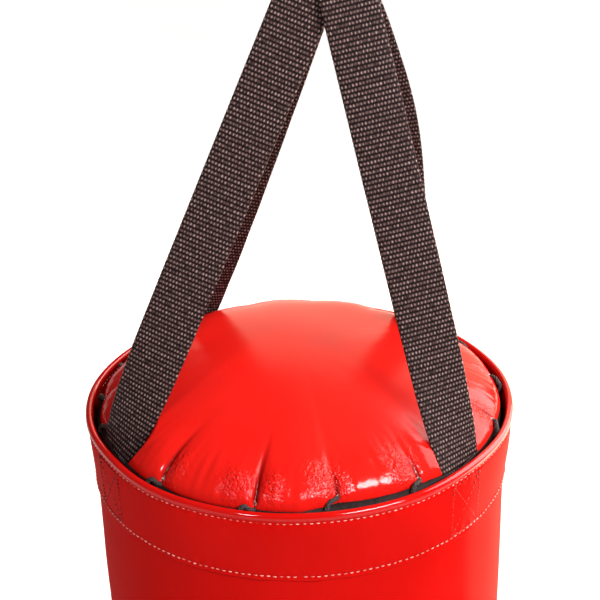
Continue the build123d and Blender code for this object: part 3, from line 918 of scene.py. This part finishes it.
RING_BAR = Vector(next(j for j in frame["joints"] if j["name"] == "bag_swing")["pos_m"])
BAR_IN_BAG = np.array(BAG.inverted() @ RING_BAR) / MM
LEVEL = np.array(BAG.inverted().to_3x3() @ Vector((1, 0, 0)))
DOWN = np.array(BAG.inverted().to_3x3() @ Vector((0, 0, -1)))
WEAVE_PICK = 3.22
WEAVE_ENDS = 32
LEG_AZIMUTHS = {"front_left": -63.8, "front_right": 49.5, "back_left": -142.0, "back_right": 136.0}
TWIST_POWER = {"front_left": 6.8, "front_right": 5.5, "back_left": 4.0, "back_right": 4.0}
WRAP_SHIFT = {"front_left": -2.0, "back_right": 0.8, "front_right": 1.9, "back_left": -1.6}
FOOT_R = 146.4             # where a leg comes down inside the rim
FOOT_Z = -14.0
SEWN_R = 147.0
INNER_WRAP_R = 5.8         # round the ring's bar
OUTER_WRAP_R = 8.7
SLACK_BOW = (12.0, 5.0, 0)     # the back right leg hangs a little slack
WEAVE_HEIGHT = 0.36
STRAP_CUP = 0.5            # the webbing's middle stands out this far from its selvedges


def leg_line(name, wrap_r, shift):
    """Centre line and width direction of one leg, from the ring's bar down to its sewn end."""
    azimuth = LEG_AZIMUTHS[name]
    side = -1 if name.startswith("front") else 1
    foot = polar(FOOT_R, azimuth, FOOT_Z)
    top = BAR_IN_BAG + np.array([0, side * wrap_r, 0]) + LEVEL * shift
    turn = azimuth if side < 0 else azimuth - math.copysign(180, azimuth)
    share = np.linspace(0, 1, 160)[:, None]
    line = top + (foot - top) * share
    if name == "back_right":
        bow = np.array(SLACK_BOW) * bell(share - 0.40, 0.25)
        line = line + bow * smooth(share, 0, 0.2) * smooth(1 - share, 0, 0.2)
    angle = np.radians(turn) * share[:, 0] ** TWIST_POWER[name]
    across = np.stack([np.cos(angle), np.sin(angle), 0 * angle], -1)
    blend = smooth(share, 0, 0.08)
    across = across * blend + LEVEL * (1 - blend)
    sewn_z = np.linspace(-15.5, -50, 24)
    sewn = polar(SEWN_R, azimuth, sewn_z)
    sewn_across = np.tile(across[-1], (len(sewn_z), 1))
    return np.concatenate([line, sewn]), np.concatenate([across, sewn_across])


def strap_line(front, back, wrap_r):
    """A whole strap's centre line and width directions, from the front foot to the back one."""
    front_line, front_across = leg_line(front, wrap_r, WRAP_SHIFT[front])
    back_line, back_across = leg_line(back, wrap_r, WRAP_SHIFT[back])
    t = np.linspace(0, math.pi, 26)[1:-1, None]
    over = BAR_IN_BAG - np.array([0, 1, 0]) * wrap_r * np.cos(t) - DOWN * wrap_r * np.sin(t)
    share = (1 - np.cos(t)) / 2
    over = over + LEVEL * (WRAP_SHIFT[front] * (1 - share) + WRAP_SHIFT[back] * share)
    line = np.concatenate([front_line[::-1], over, back_line])
    across = np.concatenate([front_across[::-1], np.tile(LEVEL, (len(t), 1)), back_across])
    both = soften(resample(np.concatenate([line, across], 1), 1.0)[0], 12)
    line, across = both[:, :3], both[:, 3:]
    tangent = unit(np.gradient(line, axis=0))
    across = unit(across - tangent * np.sum(across * tangent, -1, keepdims=True))
    return line, across, np.cross(across, tangent)


def webbing_relief(u, v):
    """Height of the weave: each warp end goes over one pick and under the next."""
    end = np.clip(np.floor(u), 0, WEAVE_ENDS - 1)
    pick = np.floor(v)
    over = (end + pick) % 2
    side = np.abs(np.sin(np.pi * u)) ** 0.7
    length = np.abs(np.sin(np.pi * (v - pick)))
    return WEAVE_HEIGHT * np.where(over > 0.5, side * length ** 0.6, 0.35 * length - 0.1)


def strap_leg_mesh(name, line, across, face, along, node):
    """Webbing with its weave in relief on both faces and rounded selvedges."""
    columns = 2 * WEAVE_ENDS + 1
    u = np.linspace(0, WEAVE_ENDS, columns)[None, :]
    v = along[:, None] / WEAVE_PICK
    flat = np.abs(2 * u / WEAVE_ENDS - 1)
    thick = STRAP_T / 2 * np.sqrt(np.clip(1 - flat ** 14, 0.02, 1))
    wavy = 0.25 * np.sin(along[:, None] / 9.0) * flat ** 8
    x = (u / WEAVE_ENDS - 0.5) * STRAP_W
    cup = STRAP_CUP * (1 - (2 * x / STRAP_W) ** 2)
    knuckle = 1 + 0.014 * (np.abs(np.sin(np.pi * v)) - 0.5) * flat ** 20
    sheet = line[:, None] + across[:, None] * (x * knuckle)[..., None]
    woven = thick > 0.6
    front = thick + webbing_relief(u + 0.001, v) * woven + cup + wavy
    rear = -thick - webbing_relief(u + 1.001, v) * woven + cup + wavy
    top = sheet + face[:, None] * front[..., None]
    bottom = sheet + face[:, None] * rear[..., None]
    loop = np.concatenate([top, bottom[:, ::-1]], 1)
    rows, count = loop.shape[:2]
    faces = grid_faces(rows, count)
    faces.append(list(range(count))[::-1])
    faces.append([(rows - 1) * count + k for k in range(count)])
    obj = make_piece(name, loop, faces, WEBBING, "black_webbing", node)
    face_uvs(obj, rows, count, False, np.concatenate([u[0], u[0, ::-1], u[0, :1]]), v[:, 0])


def strap(node, front, back, wrap_r):
    """One strap over the ring's bar, as a front and a back piece that meet on the bar."""
    line, across, face = strap_line(front, back, wrap_r)
    fine, along = resample(np.concatenate([line, across, face], 1), WEAVE_PICK / 4)
    middle = len(fine) // 2
    for part, piece in (("front", slice(0, middle + 1)), ("back", slice(middle, None))):
        rows = fine[piece]
        centre, side_way, out_way = rows[:, :3], unit(rows[:, 3:6]), unit(rows[:, 6:])
        strap_leg_mesh(node + "_" + part + "_leg", centre, side_way, out_way, along[piece], node)


# ---- stitches

THREAD_R = 0.42
THREAD_TAPER = np.array([0.6, 0.9, 1, 1, 1, 0.9, 0.6])
BOX_HALF_W = 14.6
BOX_TOP_Z = -9.0
BOX_BOTTOM_Z = -49.5


def stitch_lines(points, normals, pitch, gap=0.25):
    """Short arched threads along a path, which dip into the sheet at both ends."""
    both, along = resample(np.concatenate([points, normals], 1), 0.4)
    lines = []
    for k in range(int(along[-1] / pitch)):
        s = (k + np.linspace(gap, 1 - gap, len(THREAD_TAPER))) * pitch
        here = np.stack([np.interp(s, along, both[:, c]) for c in range(6)], -1)
        lift = 0.42 * np.sin(np.linspace(0.05, 0.95, len(THREAD_TAPER)) * np.pi) - 0.26
        jitter = RNG.normal(0, 0.09, 3)
        lines.append(here[:, :3] + unit(here[:, 3:]) * lift[:, None] + jitter)
    return lines


def stitches(name, runs, material, node, radius=THREAD_R, pitch=STITCH_PITCH):
    """One piece of separate threads along several runs."""
    lines = [line for points, normals in runs for line in stitch_lines(points, normals, pitch)]
    radii = [THREAD_TAPER * radius] * len(lines)
    make_piece(name, *tubes(lines, radii, 6), material, "stitch_thread", node)


def rim_run(r, azimuth, z):
    """A run of points that moves with the rim, and the directions that face out from it."""
    out, up = rim_shift(azimuth)
    share = rim_share(z)
    return polar(r + share * out, azimuth, z + share * up), polar(1.0, azimuth, 0.0)


def ring_run(r, z):
    """Such a run right round the bag."""
    return rim_run(r, np.linspace(0, 360, 1441), z)


def band_line(corners, centre):
    """A straight run on the band between two (across, z) corners about a strap's azimuth."""
    (x0, z0), (x1, z1) = corners
    t = np.linspace(0, 1, 60)
    azimuth = centre + np.degrees((x0 + (x1 - x0) * t) / BAND_R)
    z = z0 + (z1 - z0) * t
    return rim_run(BAND_R + 0.55, azimuth, z)


def box_runs(centre):
    """The seam that holds one strap: its two upright sides, and what runs across between them."""
    top_left, top_right = (-BOX_HALF_W, BOX_TOP_Z), (BOX_HALF_W, BOX_TOP_Z)
    low_left, low_right = (-BOX_HALF_W, BOX_BOTTOM_Z), (BOX_HALF_W, BOX_BOTTOM_Z)
    sides = [(low_left, top_left), (top_right, low_right)]
    across = [(low_left, low_right), (top_left, top_right), (top_left, low_right), (top_right, low_left)]
    return [band_line(c, centre) for c in sides], [band_line(c, centre) for c in across]


def all_stitches():
    """Every seam that shows."""
    stitches("rim_stitches", [ring_run(BAND_R - 0.15, RIM_STITCH_Z)], PALE_THREAD, "rim_stitching")
    inside, facing = ring_run(FOLD_R + 0.1, -6.6)
    stitches("rim_stitches_inside", [(inside, -facing)], PALE_THREAD, "rim_stitching")
    stitches("band_stitches", [ring_run(BAND_R + 0.05, BAND_STITCH_Z)], PALE_THREAD, "band_stitching")
    base_run = ring_run(SHELL_R - 0.2, -BAG_LENGTH + BASE_STITCH_RISE)
    stitches("base_stitches", [base_run], PALE_THREAD, "base_stitching")
    z = np.linspace(BAND_BOTTOM_Z - 5, -BAG_LENGTH + 10, 900)
    rows = []
    for x in (-SEAM_STITCH_X, SEAM_STITCH_X):
        azimuth = 180 + np.degrees(x / SHELL_R)
        r = SHELL_R + 0.75 + body_relief(np.full(len(z), azimuth), z)
        rows.append((polar(r, azimuth, z), polar(np.ones(len(z)), azimuth, 0.0)))
    stitches("back_seam_stitches", rows, PALE_THREAD, "back_seam_stitching")
    sides, crosses = [], []
    for azimuth in STRAP_AZIMUTHS.values():
        upright, across = box_runs(azimuth)
        sides += upright
        crosses += across
    stitches("strap_box_stitches", sides, DARK_THREAD, "strap_stitching", 0.5, 3.3)
    stitches("strap_cross_stitches", crosses, CROSS_THREAD, "strap_stitching", 0.38, 3.9)


# ---- hardware

def repaint(node, material):
    """Keeps a CAD node's shape and gives it a procedural material."""
    obj = frame["nodes"][node]
    obj.data.materials.clear()
    obj.data.materials.append(material)


def hardware():
    """The swivel and the ring, which are plain turned and bent metal."""
    for node in ("swivel_housing", "swivel_cap", "swivel_stem", "strap_ring"):
        repaint(node, ZINC)
    repaint("thrust_washer", BRASS)


# ---- camera, light and floor

CAMERA_PITCH = 26.5
CAMERA_ROLL = -1.38
CAMERA_DISTANCE = 1049.4
CAMERA_TARGET = np.array([2.6, 0.0, 77.2])
CAMERA_LENS = 87.64
FLOOR_GAP = 0.10           # metres under the bag
FLOOR_Z = cad_box[0][2] - FLOOR_GAP
FLOOR_HALF = 9.0
# Softboxes: name, place from the rim, metres that it aims below the rim, size, watts and colour
SOFTBOXES = (
    ("front_window", (0.92, -1.25, 1.2), 0.0, (1.0, 0.42), 60, (1, 1, 1)),
    ("left_window", (-0.75, -1.25, 1.25), 0.0, (0.26, 0.2), 11, (1, 1, 1)),
    ("right_softbox", (0.95, 0.75, -0.6), 0.15, (1.3, 1.3), 40, (1.0, 0.58, 0.38)),
    ("back_softbox", (0.5, 2.6, 0.45), 0.0, (2.6, 2.6), 50, (1.0, 0.70, 0.50)))
SUN_FROM = (0.76, 0.36, 0.5)


def camera():
    """In front of the rim, looking down on the lid."""
    pitch, roll = math.radians(CAMERA_PITCH), math.radians(CAMERA_ROLL)
    forward = np.array([0, math.cos(pitch), -math.sin(pitch)])
    right = np.array([1.0, 0, 0])
    up = np.cross(right, forward)
    rolled_right = math.cos(roll) * right + math.sin(roll) * up
    rolled_up = -math.sin(roll) * right + math.cos(roll) * up
    place = Matrix((rolled_right, rolled_up, -forward)).transposed().to_4x4()
    place.translation = Vector((CAMERA_TARGET - CAMERA_DISTANCE * forward) * MM)
    data = bpy.data.cameras.new("camera")
    data.lens = CAMERA_LENS
    data.sensor_width = 36
    data.clip_end = 50
    obj = add_to_scene("camera", data)
    obj.matrix_world = BAG @ place
    bpy.context.scene.camera = obj


def lights():
    """Soft studio light: four softboxes, one broad sun from the right and a dim room."""
    for name, place, below, size, watts, colour in SOFTBOXES:
        data = bpy.data.lights.new(name, "AREA")
        data.shape = "ELLIPSE"
        data.size, data.size_y = size
        data.energy = watts
        data.color = colour
        box = add_to_scene(name, data)
        box.visible_camera = False
        box.location = BAG_RIM + Vector(place)
        aim = BAG_RIM - Vector((0, 0, below)) - box.location
        box.rotation_euler = aim.to_track_quat("-Z", "Y").to_euler()
    data = bpy.data.lights.new("right_back_sun", "SUN")
    data.energy = 7.6
    data.angle = math.radians(62)
    data.color = (1.0, 0.97, 0.94)
    sun = add_to_scene("right_back_sun", data)
    sun.rotation_euler = Vector(SUN_FROM).to_track_quat("Z", "Y").to_euler()
    world = bpy.data.worlds.new("studio")
    bpy.context.scene.world = world
    world.use_nodes = True
    background = world.node_tree.nodes["Background"]
    background.inputs["Color"].default_value = (1.0, 0.98, 0.97, 1)
    background.inputs["Strength"].default_value = 0.11
    bpy.context.scene.view_settings.view_transform = "Standard"


def floor():
    """A plain floor under the bag."""
    mesh = bpy.data.meshes.new("floor")
    corners = [(x * FLOOR_HALF, y * FLOOR_HALF, FLOOR_Z) for x, y in ((-1, -1), (1, -1), (1, 1), (-1, 1))]
    mesh.from_pydata(corners, [], [(0, 1, 2, 3)])
    obj = add_to_scene("floor", mesh)
    mesh.materials.append(floor_material())


LID_GRID = lid_points()
camera()
outer_shell()
collar_band()
base_panel()
base_welt()
lid_panel()
rim_tape()
lace_cord()
lace_frays()
strap("strap_left", "front_left", "back_right", INNER_WRAP_R)
strap("strap_right", "front_right", "back_left", OUTER_WRAP_R)
all_stitches()
hardware()
lights()
floor()
